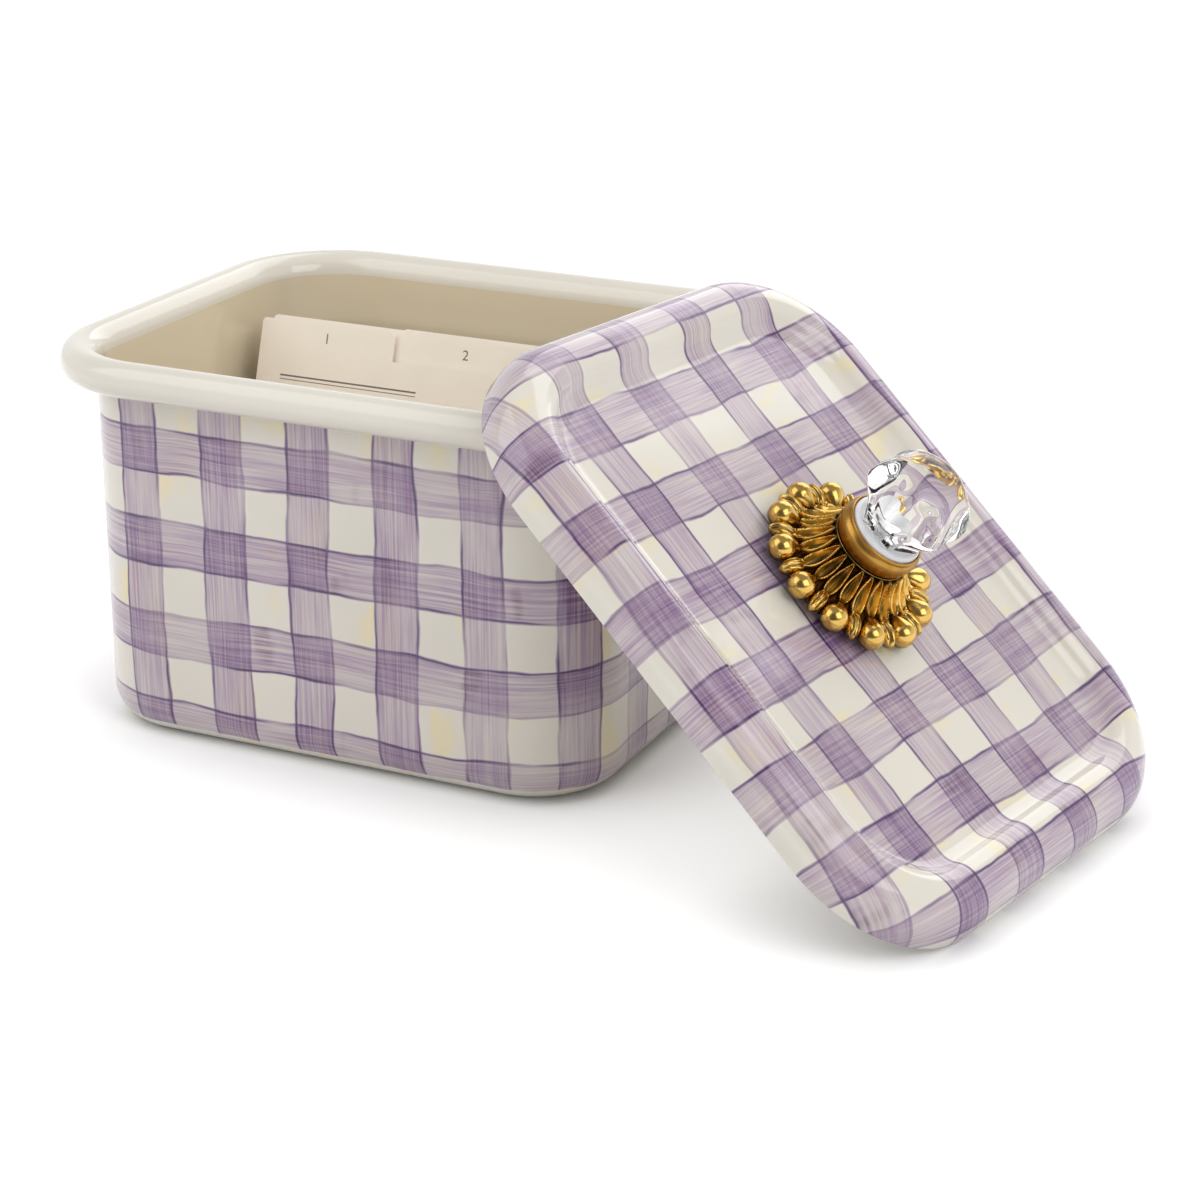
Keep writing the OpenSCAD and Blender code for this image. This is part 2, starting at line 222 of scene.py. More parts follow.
def surface(tree, height, strength, depth, sockets, under=None):
    """The fine relief of a surface and its shader, joined to the material's output."""
    relief = {"Height": height, "Strength": strength, "Distance": depth}
    if under is not None:
        relief["Normal"] = under
    shader = put(tree, "BsdfPrincipled", {**sockets, "Normal": put(tree, "Bump", relief)})
    put(tree, "OutputMaterial", (shader,))


def brushed_bands(tree, across, streak_point, pitch, width, seed):
    """Cover, pooled paint and streaks of a set of brushed bands that repeat across a surface.

    A flat brush 15 mm wide leaves streaks about 0.7 mm apart and 40 mm long, a ragged side,
    and a line of pooled paint less than 1 mm wide along each side.
    """
    ragged_by, edge, line_in, line_wide = 2.4 * MM, 0.25 * MM, 0.55 * MM, 0.75 * MM
    step = put(tree, "Math", (across, pitch), operation="DIVIDE")
    number = put(tree, "Math", (step,), operation="FLOOR")
    place = put(tree, "Math", (step,), operation="FRACT")
    place = put(tree, "Math", (place, 0.5), operation="SUBTRACT")
    place = put(tree, "Math", (place,), operation="ABSOLUTE")
    from_middle = put(tree, "Math", (place, pitch), operation="MULTIPLY")
    shake = strokes(tree, streak_point, 6 * MM, 18 * MM, 2.0)
    ragged = put(tree, "Math", (shake, ragged_by, from_middle), operation="MULTIPLY_ADD")
    half = width / 2 + ragged_by / 2
    inside = put(tree, "MapRange", (ragged, half - edge, half + edge, 1.0, 0.0), **SOFT)
    from_side = put(tree, "Math", (ragged, half - line_in), operation="SUBTRACT")
    from_side = put(tree, "Math", (from_side,), operation="ABSOLUTE")
    line = put(tree, "MapRange", (from_side, 0.0, line_wide, 1.0, 0.0), **SOFT)
    streaks = strokes(tree, streak_point, 0.7 * MM, 40 * MM, 4.0, 0.62)
    load = strokes(tree, streak_point, 11 * MM, 30 * MM, 1.0)
    charge = put(tree, "Math", (number, seed), operation="ADD")
    charge = put(tree, "TexWhiteNoise", {"W": charge}, noise_dimensions="1D")
    # What the brush leaves: streaks of its hairs, wetter and drier stretches, fuller and leaner bands.
    body = put(tree, "MapRange", (streaks, 0.28, 0.72, 0.38, 1.04), **SOFT)
    wet = put(tree, "MapRange", (load, 0.25, 0.75, 0.70, 1.12), **SOFT)
    full = put(tree, "MapRange", {0: charge, 3: 0.84, 4: 1.08})
    for part in (wet, full):
        body = put(tree, "Math", (body, part), operation="MULTIPLY")
    cover = put(tree, "Math", (inside, body), operation="MULTIPLY", use_clamp=True)
    settled = put(tree, "MapRange", (load, 0.38, 0.62, 0.25, 1.0), **SOFT)
    pool = put(tree, "Math", (line, settled), operation="MULTIPLY")
    return cover, pool, streaks


def glassy_coat(tree, point, tone, relief=None, roughness=0.12):
    """Fired enamel: hard and glassy, so it mirrors the lamps, with an orange peel 4 mm across."""
    peel = put(tree, "TexNoise", {"Vector": point, "Scale": 1 / (4 * MM), "Detail": 2.0})
    shine = {"Base Color": tone, "Roughness": roughness, "IOR": 1.5, "Coat Weight": 0.35,
             "Coat Roughness": 0.04}
    if relief is not None:
        peel = put(tree, "Bump", {"Height": peel, "Strength": 0.10, "Distance": 0.3 * MM})
        surface(tree, relief, 0.25, 0.06 * MM, shine, peel)
    else:
        surface(tree, peel, 0.10, 0.3 * MM, shine)


def drained_ground(tree, point, ground, thinner):
    """A dipped and drained coat: it runs a little thinner in patches 45 mm across."""
    patch = patches(tree, point, 45 * MM, 0.3, 0.7)
    return put(tree, "Mix", {0: patch, 6: ground, 7: [c * thinner for c in ground]}, **BLEND)


def painted_enamel(name, map_name, pitches, width, shift, foot_line=None):
    """Vitreous enamel on pressed steel, hand brushed: lavender bands cross on a cream ground.

    The eye sees thin streaky colour, darker where two bands cross, and a gloss over all of it.
    """
    colours = settings("finish")
    material, tree, point = start_finish(name)
    flat = put(tree, "UVMap", uv_map=map_name).outputs[0]
    # Bands laid by hand wander by about 2 mm over a length of 40 mm.
    wander = put(tree, "TexNoise", {"Vector": point, "Scale": 1 / (40 * MM), "Detail": 1.0}).outputs["Color"]
    wander = put(tree, "VectorMath", (wander, (0.5, 0.5, 0.5)), operation="SUBTRACT")
    wander = put(tree, "VectorMath", {0: wander, 3: 4.2 * MM}, operation="SCALE")
    laid = put(tree, "VectorMath", (flat, wander), operation="ADD")
    laid = put(tree, "VectorMath", (laid, (*shift, 0.0)), operation="ADD")
    axes = put(tree, "SeparateXYZ", (laid,)).outputs
    swapped = put(tree, "CombineXYZ", (axes[1], axes[0], 0.37))
    upright, upright_pool, streaks_up = brushed_bands(tree, axes[0], flat, pitches[0], width, 3.0)
    level, level_pool, streaks_level = brushed_bands(tree, axes[1], swapped, pitches[1], width, 41.0)
    if foot_line:
        # The brush stops short of the foot, along a line uneven by about 1 mm.
        height = put(tree, "SeparateXYZ", (flat,)).outputs[1]
        uneven = put(tree, "TexNoise", {"Vector": point, "Scale": 1 / (11 * MM)})
        height = put(tree, "Math", (uneven, 2 * MM, height), operation="MULTIPLY_ADD")
        painted = put(tree, "MapRange", (height, foot_line, foot_line + 0.6 * MM), **SOFT)
        upright, level, upright_pool, level_pool = [
            put(tree, "Math", (part, painted), operation="MULTIPLY")
            for part in (upright, level, upright_pool, level_pool)]
    tone = drained_ground(tree, point, colours.cream, 0.95)
    # Stray marks of two other brushes, 14 mm wide and 32 mm long: straw on the ground, plum in a band.
    stray = strokes(tree, flat, 14 * MM, 32 * MM, 2.0)
    straw = put(tree, "MapRange", (stray, 0.54, 0.68, 0.0, 0.85), **SOFT)
    covered = put(tree, "Math", (upright, level), operation="MAXIMUM")
    bare = put(tree, "MapRange", (covered, 0.0, 0.5, 1.0, 0.25))
    plum = put(tree, "MapRange", (stray, 0.40, 0.30, 0.0, 0.9), **SOFT)
    for part in (streaks_up, bare):
        straw = put(tree, "Math", (straw, part), operation="MULTIPLY")
    for part in (streaks_level, level):
        plum = put(tree, "Math", (plum, part), operation="MULTIPLY")
    tone = put(tree, "Mix", {0: straw, 6: tone, 7: linear("F0DB92")}, **BLEND)
    crossing = put(tree, "Math", (upright, level), operation="MULTIPLY")
    crossing = put(tree, "Math", (crossing, 0.4), operation="MULTIPLY")
    pool = put(tree, "Math", (upright_pool, level_pool), operation="MAXIMUM")
    for cover, paint in ((plum, linear("8E5F6A")), (upright, colours.wash), (level, colours.wash),
                         (crossing, colours.wash), (pool, colours.pool)):
        tone = put(tree, "Mix", {0: cover, 6: tone, 7: paint}, **GLAZE)
    ridges = [put(tree, "Math", pair, operation="MULTIPLY")
              for pair in ((upright, streaks_up), (level, streaks_level))]
    glassy_coat(tree, point, tone, put(tree, "Math", ridges, operation="ADD"))
    return material


def plain_enamel(name, ground):
    """Vitreous enamel on pressed steel, unpainted: warm, smooth and glossy."""
    material, tree, point = start_finish(name)
    glassy_coat(tree, point, drained_ground(tree, point, ground, 0.97))
    return material


def cut_edge_enamel(name):
    """Trimmed sheet edge where the fired coat runs thin and dark steel shows through in specks."""
    material, tree, point = start_finish(name)
    specks = patches(tree, point, 2.5 * MM, 0.35, 0.65)
    tone = put(tree, "Mix", {0: specks, 6: linear("3F352F"), 7: linear("8E8176")}, **BLEND)
    glassy_coat(tree, point, tone, roughness=0.35)
    return material


def cast_brass(name):
    """Cast brass, antiqued and relieved: bright high parts, brown antiquing in every recess, and the same
    brown as painted shade under the balls and leaves and below the collar.
    """
    colours = settings("finish")
    material, tree, point = start_finish(name)
    # The mesh's darkness: antiqued brown in the recesses, and painted shade under the balls and leaves and
    # just below the collar.
    depth = put(tree, "Attribute", attribute_name="hollow").outputs["Fac"]
    cloud = put(tree, "TexNoise", {"Vector": point, "Scale": 1 / (2.2 * MM), "Detail": 3.0})
    patina_and_shade = put(tree, "Math", (cloud, 0.2, depth), operation="MULTIPLY_ADD")
    patina_and_shade = put(tree, "MapRange", (patina_and_shade, 0.22, 0.95), **SOFT)
    drift = patches(tree, point, 6 * MM, 0.35, 0.7, most=0.3)
    tone = put(tree, "Mix", {0: drift, 6: colours.gold, 7: linear("B58A3C")}, **BLEND)
    tone = put(tree, "Mix", {0: patina_and_shade, 6: tone, 7: colours.patina_and_shade}, **BLEND)
    tumbled = put(tree, "TexNoise", {"Vector": point, "Scale": 1 / (1.3 * MM), "Detail": 2.0})
    satin = put(tree, "MapRange", (tumbled, 0.3, 0.7, 0.16, 0.22))
    satin = put(tree, "Math", (patina_and_shade, 0.18, satin), operation="MULTIPLY_ADD")
    # The casting's skin after tumbling, drawn at 1.6 mm so that it shows.
    skin = put(tree, "TexNoise", {"Vector": point, "Scale": 1 / (1.6 * MM), "Detail": 2.0})
    surface(tree, skin, 0.12, 0.1 * MM, {"Base Color": tone, "Metallic": 1.0, "Roughness": satin})
    return material


def turned_metal(name, bright, dull, roughness):
    """Turned metal under a thin lacquer: soft tool marks, and cloudy where it was handled."""
    material, tree, point = start_finish(name)
    cloud = patches(tree, point, 4 * MM, 0.3, 0.72, 3.0)
    tone = put(tree, "Mix", {0: cloud, 6: bright, 7: dull}, **BLEND)
    satin = put(tree, "MapRange", {0: cloud, 3: roughness, 4: roughness + 0.12})
    marks = put(tree, "TexNoise", {"Vector": point, "Scale": 1 / (1.2 * MM), "Detail": 2.0})
    surface(tree, marks, 0.12, 0.08 * MM, {"Base Color": tone, "Metallic": 1.0, "Roughness": satin})
    return material


def pressed_glass(name):
    """Soda glass, pressed and fire polished: water clear, with a slow waviness 7 mm across."""
    material, tree, point = start_finish(name)
    wave = put(tree, "TexNoise", {"Vector": point, "Scale": 1 / (7 * MM), "Detail": 1.0})
    surface(tree, wave, 0.12, 0.4 * MM, {"Base Color": (1.0, 1.0, 1.0), "Roughness": 0.0, "IOR": 1.5,
                                         "Transmission Weight": 1.0})
    return material


def moulded_disc(name):
    """Nylon, injection moulded: milky white, satin, with a little light inside it."""
    material, tree, point = start_finish(name)
    drift = put(tree, "TexNoise", {"Vector": point, "Scale": 1 / (3.3 * MM), "Detail": 2.0})
    tone = put(tree, "Mix", {0: drift, 6: linear("F2F2F4"), 7: linear("E2E2E6")}, **BLEND)
    grain = put(tree, "TexNoise", {"Vector": point, "Scale": 1 / (0.4 * MM)})
    surface(tree, grain, 0.1, 0.05 * MM, {"Base Color": tone, "Roughness": 0.3, "Subsurface Weight": 0.2,
                                          "Subsurface Radius": (MM, MM, MM)})
    return material


def card_stock(name, tone, fibre_size):
    """Uncoated card: warm and matt, with paper fibre, drawn coarser than real so that it shows."""
    material, tree, point = start_finish(name)
    fibre = put(tree, "TexNoise", {"Vector": point, "Scale": 1 / fibre_size, "Detail": 4.0,
                                   "Roughness": 0.6})
    cloud = put(tree, "TexNoise", {"Vector": point, "Scale": 1 / (16 * MM), "Detail": 2.0})
    mixed = put(tree, "Math", (fibre, cloud), operation="ADD")
    mixed = put(tree, "MapRange", (mixed, 0.75, 1.25), **SOFT)
    tint = put(tree, "Mix", {0: mixed, 6: tone, 7: [c * 0.965 for c in tone]}, **BLEND)
    surface(tree, fibre, 0.25, 0.12 * MM, {"Base Color": tint, "Roughness": 0.82, "Sheen Weight": 0.08})
    return material


def letterpress_ink(name, tone):
    """Letterpress ink on card: flat grey brown, broken where the card's tooth shows through."""
    material, tree, point = start_finish(name)
    worn = patches(tree, point, 0.35 * MM, 0.3, 0.62, 3.0)
    tint = put(tree, "Mix", {0: worn, 6: [c * 1.7 for c in tone], 7: tone}, **BLEND)
    put(tree, "OutputMaterial", (put(tree, "BsdfPrincipled", {"Base Color": tint, "Roughness": 0.7}),))
    return material


# Mesh helpers

AXIS = {"cent": (0, 0, 0), "axis": (0, 0, 1), "dvec": (0, 0, 0)}


def only(parts, kind):
    """The vertices, edges or faces among mixed parts of a mesh."""
    return [part for part in parts if isinstance(part, kind)]


def arc(bm, tip, centre, degrees, steps):
    """Swings the last point of a section about a centre in the XZ plane; positive is anticlockwise."""
    made = bmesh.ops.spin(bm, geom=[tip], cent=(centre[0], 0, centre[1]), axis=(0, -1, 0),
                          dvec=(0, 0, 0), angle=math.radians(degrees), steps=steps)
    return only(made["geom_last"], BMVert)[0]


def draw_to(bm, tip, spot):
    """Draws one edge on from the last point of a section."""
    tip = bmesh.ops.extrude_vert_indiv(bm, verts=[tip])["verts"][0]
    tip.co = spot
    return tip


def run(bm, tip, end, hold=0.0006):
    """Draws a straight run to a point, with a held vertex near each end so that shading stays flat."""
    goal = Vector((end[0], 0, end[1]))
    way = goal - tip.co
    stops = [goal]
    if way.length > 4 * hold:
        step = way.normalized() * hold
        stops = [tip.co + step, goal - step, goal]
    for stop in stops:
        tip = draw_to(bm, tip, stop)
    return tip


def draw_section(start, moves, closed=False):
    """A section as a chain of edges, with the number of vertices after each move.

    Each vertex keeps its number in the chain and its developed length.
    """
    bm = bmesh.new()
    tip = bm.verts.new((start[0], 0, start[1]))
    counts = [1]
    for move in moves:
        tip = run(bm, tip, move) if len(move) == 2 else arc(bm, tip, *move)
        counts.append(len(bm.verts))
    bm.verts.ensure_lookup_table()
    if closed:
        bmesh.ops.remove_doubles(bm, verts=[bm.verts[0], bm.verts[-1]], dist=1e-6)
        bm.verts.ensure_lookup_table()
    number = bm.verts.layers.int.new("chain")
    developed = bm.verts.layers.float.new("developed")
    walked = 0.0
    for i, vert in enumerate(bm.verts):
        if i:
            walked += (vert.co - bm.verts[i - 1].co).length
        vert[number] = i
        vert[developed] = walked
    return bm, counts


def carry_round(bm, across, along, corner_steps=26, hold=0.0008):
    """Carries a section round a rounded rectangle: about each corner's centre, then straight on."""
    bmesh.ops.translate(bm, verts=bm.verts, vec=(across, along, 0))
    front = bm.verts[:] + bm.edges[:]
    for x, y, way in ((across, along, (-2 * across, 0, 0)), (-across, along, (0, -2 * along, 0)),
                      (-across, -along, (2 * across, 0, 0)), (across, -along, (0, 2 * along, 0))):
        made = bmesh.ops.spin(bm, geom=front, cent=(x, y, 0), axis=(0, 0, 1), dvec=(0, 0, 0),
                              angle=math.pi / 2, steps=corner_steps)
        front = made["geom_last"]
        way = Vector(way)
        step = way.normalized() * hold
        for part in (step, way - 2 * step, step):
            made = bmesh.ops.extrude_edge_only(bm, edges=only(front, BMEdge))["geom"]
            front = only(made, (BMVert, BMEdge))
            bmesh.ops.translate(bm, verts=only(front, BMVert), vec=part)
    bmesh.ops.remove_doubles(bm, verts=bm.verts, dist=2e-6)


def turn(bm, steps):
    """Turns a closed section about the knob's axis."""
    bmesh.ops.spin(bm, geom=bm.verts[:] + bm.edges[:], angle=TURN, steps=steps, use_merge=True, **AXIS)
    bmesh.ops.remove_doubles(bm, verts=bm.verts, dist=1e-6)
    bmesh.ops.recalc_face_normals(bm, faces=bm.faces)


def core_middle(bm, across, along, height, hole, hole_place=(0, 0)):
    """Fills the flat middle between the four corner centres, with a round hole if one is given."""
    near = [v for v in bm.verts if abs(v.co.z - height) < 1e-6
            and abs(v.co.x) < across + 1e-6 and abs(v.co.y) < along + 1e-6]
    border = [e for e in bm.edges if e.verts[0] in near and e.verts[1] in near and e.is_boundary]
    rim = []
    if hole:
        made = bmesh.ops.create_circle(bm, segments=48, radius=hole,
                                       matrix=Matrix.Translation((*hole_place, height)))
        rim = list({e for v in made["verts"] for e in v.link_edges})
    bmesh.ops.triangle_fill(bm, use_beauty=True, use_dissolve=False, edges=border + rim)
    return rim


def sharpen(bm, degrees=40):
    """Smooth shading, with a crisp line wherever two faces meet at a clear angle."""
    for face in bm.faces:
        face.smooth = True
    for edge in bm.edges:
        if len(edge.link_faces) == 2:
            edge.smooth = edge.calc_face_angle(0) < math.radians(degrees)


def set_out(bm, name, materials):
    """Makes an object of a finished mesh and gives it its materials."""
    if not bm.faces:
        raise RuntimeError(name + " came out empty")
    mesh = bpy.data.meshes.new(name)
    bm.to_mesh(mesh)
    bm.free()
    for material in materials:
        mesh.materials.append(material)
    piece = bpy.data.objects.new(name, mesh)
    bpy.context.scene.collection.objects.link(piece)
    return piece


def finish_piece(bm, name, body, materials, nodes=(), place=None):
    """Puts a piece in its place and tells the frame what it is."""
    if place is not None:
        bmesh.ops.transform(bm, matrix=place, verts=bm.verts)
    piece = set_out(bm, name, materials)
    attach(piece, body)
    if nodes:
        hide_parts(*nodes)


def dress(node, *materials):
    """Gives a CAD node its finish."""
    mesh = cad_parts[node].data
    mesh.materials.clear()
    for material in materials:
        mesh.materials.append(material)


# Shapes that several pieces share

def lean_place():
    """Where the lid's own frame stands when it leans: skirt plane at zero, panel's centre on Z."""
    tub, lid = settings("tub"), settings("lid")
    lid_length = tub.length + 2 * lid.overhang
    foot = Vector((tub.length / 2 + lid.reach * lid_length, lid.shift, 0))
    way = Vector((-math.cos(lid.yaw), -math.sin(lid.yaw), 0))
    corner = Vector((tub.length / 2 - tub.corner, tub.corner - tub.width / 2, 0))
    reach = way.dot(corner - foot) - (tub.corner - tub.roll)
    roll_height = tub.height - tub.roll
    stand = lid.height - lid.drop - tub.sheet - tub.roll - lid.gap
    angle = math.acos(stand / math.hypot(roll_height, reach)) - math.atan2(reach, roll_height)
    return (Matrix.Translation(foot) @ Matrix.Rotation(lid.yaw, 4, "Z")
            @ Matrix.Rotation(angle, 4, "Y") @ Matrix.Translation((-lid_length / 2, 0, 0)))


def knob_place():
    """Where the knob's own axis stands on the leaning lid."""
    knob = settings("knob")
    return lean_place() @ Matrix.Translation((-knob.up, knob.across, 0))


RECESS = 0.0015  # depth of the recess in the collar's top, in which the disc sits
BALL_RISE = 0.0012  # how far the balls stay clear of the panel


def knob_heights():
    """Heights of the stack above the lid's skirt plane, lowest first."""
    lid, knob = settings("lid"), settings("knob")
    panel = lid.height - lid.drop
    plate_top = panel + knob.plate
    collar_base = plate_top + lid.gap
    collar_top = collar_base + knob.collar_height
    disc_base = collar_top - RECESS + lid.gap
    return {"plate_base": panel + lid.gap, "ball": panel + knob.ball + BALL_RISE,
            "plate_top": plate_top, "collar_base": collar_base, "collar_top": collar_top,
            "disc_base": disc_base, "glass_base": disc_base + knob.disc + lid.gap}


def smooth(value, low, high):
    """Smooth step for plain numbers."""
    t = min(1.0, max(0.0, (value - low) / (high - low)))
    return t * t * (3 - 2 * t)


# Operators

class CARDBOX_OT_tub(Operator):
    """Press the enamelled tub: floor, rounded foot, walls, flared and curled rim"""
    bl_idname = "card_box.tub"
    bl_label = "Tub"

    def execute(self, context):
        tub, colours = settings("tub"), settings("finish")
        corner = tub.corner - 2 * tub.roll
        across = tub.length / 2 - 2 * tub.roll - corner
        along = tub.width / 2 - 2 * tub.roll - corner
        flat = corner - tub.foot
        rolled = (corner + tub.roll, tub.height - tub.roll)
        flared = (rolled[0], rolled[1] - tub.sheet)
        curl, inner = math.radians(-150), tub.roll - tub.sheet
        bm, counts = draw_section((0, tub.sheet), [
            (flat, tub.sheet), ((flat, tub.foot), 90, 12), (corner - tub.sheet, flared[1]),
            (flared, -90, 16), (rolled, -240, 40),
            (rolled[0] + inner * math.cos(curl), rolled[1] + inner * math.sin(curl)),
            (rolled, 240, 28), (flared, 90, 10), (corner, tub.foot),
            ((flat, tub.foot), -90, 14), (0, 0)])
        carry_round(bm, across, along)
        for height in (tub.sheet, 0.0):
            core_middle(bm, across, along, height, 0)
        bmesh.ops.recalc_face_normals(bm, faces=bm.faces)
        number = bm.verts.layers.int["chain"]
        wrap = bm.loops.layers.uv.new("wrap")
        quarter = corner * math.pi / 2
        # The section's first three moves draw the inside, its ninth and tenth the outer wall and foot.
        inside_end, wall_begin, wall_end = (counts[i] - 1 for i in (3, 8, 10))
        for face in bm.faces:
            span = [v[number] for v in face.verts]
            outer_wall = wall_begin <= min(span) and max(span) <= wall_end
            face.material_index = 0 if outer_wall else 2 if max(span) <= inside_end else 1
            middle = face.calc_center_median()
            for loop in face.loops:
                u = self.round_the_wall(loop.vert.co, middle, across, along, quarter)
                loop[wrap].uv = (u, loop.vert.co.z if outer_wall else -0.05)
        sharpen(bm)
        girth = 4 * (across + along) + 4 * quarter
        pitch = girth / round(girth / (2 * tub.band))
        first_band, foot_line = 0.0085, 0.0055
        materials = [painted_enamel("Enamel tub, hand brushed", "wrap", (pitch, 2 * tub.band),
                                    tub.band, (0.0, first_band), foot_line),
                     plain_enamel("Enamel rim, fired cream", colours.cream),
                     plain_enamel("Enamel inside, fired cream", colours.inside)]
        finish_piece(bm, "tub_shell", "box", materials, ["tub"])
        return {"FINISHED"}

    @staticmethod
    def round_the_wall(point, middle, across, along, quarter):
        """Distance walked round the wall, from the right end of the back, anticlockwise."""
        sides = (2 * across, 2 * along)
        x, y = middle.x, middle.y
        if abs(x) <= across and y > 0:
            return quarter + across - point.x
        if abs(y) <= along and x < 0:
            return 2 * quarter + sides[0] + along - point.y
        if abs(x) <= across:
            return 3 * quarter + sides[0] + sides[1] + across + point.x
        if abs(y) <= along:
            return 4 * quarter + 2 * sides[0] + sides[1] + along + point.y
        turns = {(True, True): 0, (False, True): 1, (False, False): 2, (True, False): 3}
        k = turns[(x > 0, y > 0)]
        centre = (across if x > 0 else -across, along if y > 0 else -along)
        angle = math.atan2(point.y - centre[1], point.x - centre[0]) - k * math.pi / 2
        angle = (angle + math.pi) % TURN - math.pi
        return k * quarter + sum((sides * 2)[:k]) + angle / (math.pi / 2) * quarter


class CARDBOX_OT_lid(Operator):
    """Press the enamelled lid: skirt, rounded border, sunken panel with the stud's hole"""
    bl_idname = "card_box.lid"
    bl_label = "Lid"

    def execute(self, context):
        tub, lid, knob = settings("tub"), settings("lid"), settings("knob")
        colours = settings("finish")
        corner = tub.corner + lid.overhang
        across = tub.length / 2 - tub.corner
        along = tub.width / 2 - tub.corner
        panel = lid.height - lid.drop
        crest, panel_edge = corner - lid.shoulder, corner - lid.border
        base = lid.height - lid.shoulder
        fall = crest - panel_edge
        slope = (fall ** 2 + lid.drop ** 2) / (4 * lid.drop)
        angle = math.degrees(2 * math.atan(lid.drop / fall))
        dish, hump = (panel_edge, panel + slope), (crest, lid.height - slope)
        shoulder = (crest, base)
        bm, counts = draw_section((0, panel), [
            (panel_edge, panel), (dish, angle, 12), (hump, -angle, 12), (shoulder, -90, 20),
            (corner, 0.0), (corner - tub.sheet, 0.0), (corner - tub.sheet, base),
            (shoulder, 90, 14), (hump, angle, 10), (dish, -angle, 10), (0, panel - tub.sheet)])
        carry_round(bm, across, along)
        rims = [core_middle(bm, across, along, height, knob.stud + lid.gap, (-knob.up, knob.across))
                for height in (panel, panel - tub.sheet)]
        bmesh.ops.bridge_loops(bm, edges=rims[0] + rims[1])
        bmesh.ops.recalc_face_normals(bm, faces=bm.faces)
        number, developed = bm.verts.layers.int["chain"], bm.verts.layers.float["developed"]
        blank = bm.loops.layers.uv.new("blank")
        # The section's first five moves draw the outside, its sixth the skirt's cut edge.
        outer_end, cut_end = counts[5] - 1, counts[6] - 1
        for face in bm.faces:
            span = [v[number] for v in face.verts]
            if all(abs(v.co.x) < across + 1e-6 and abs(v.co.y) < along + 1e-6 for v in face.verts):
                face.material_index = 0 if face.normal.z > 0.5 else 1
            elif max(span) <= outer_end:
                face.material_index = 0
            else:
                face.material_index = 2 if min(span) >= outer_end and max(span) <= cut_end else 1
            for loop in face.loops:
                spot = loop.vert.co
                core = Vector((max(-across, min(across, spot.x)), max(-along, min(along, spot.y))))
                away = Vector((spot.x, spot.y)) - core
                if away.length > 1e-7:
                    core += away.normalized() * loop.vert[developed]
                loop[blank].uv = core
        sharpen(bm)
        border = max(v[developed] for v in bm.verts if v[number] <= outer_end)
        blank_size = (2 * (across + border), 2 * (along + border))
        pitches = [size / round(size / (2 * tub.band)) for size in blank_size]
        materials = [painted_enamel("Enamel lid, hand brushed", "blank", pitches, tub.band, (0.0, 0.0)),
                     plain_enamel("Enamel lid underside, fired cream", colours.cream),
                     cut_edge_enamel("Enamel cut edge, thin")]
        finish_piece(bm, "lid_shell", "lid", materials, ["lid_pan"], lean_place())
        return {"FINISHED"}


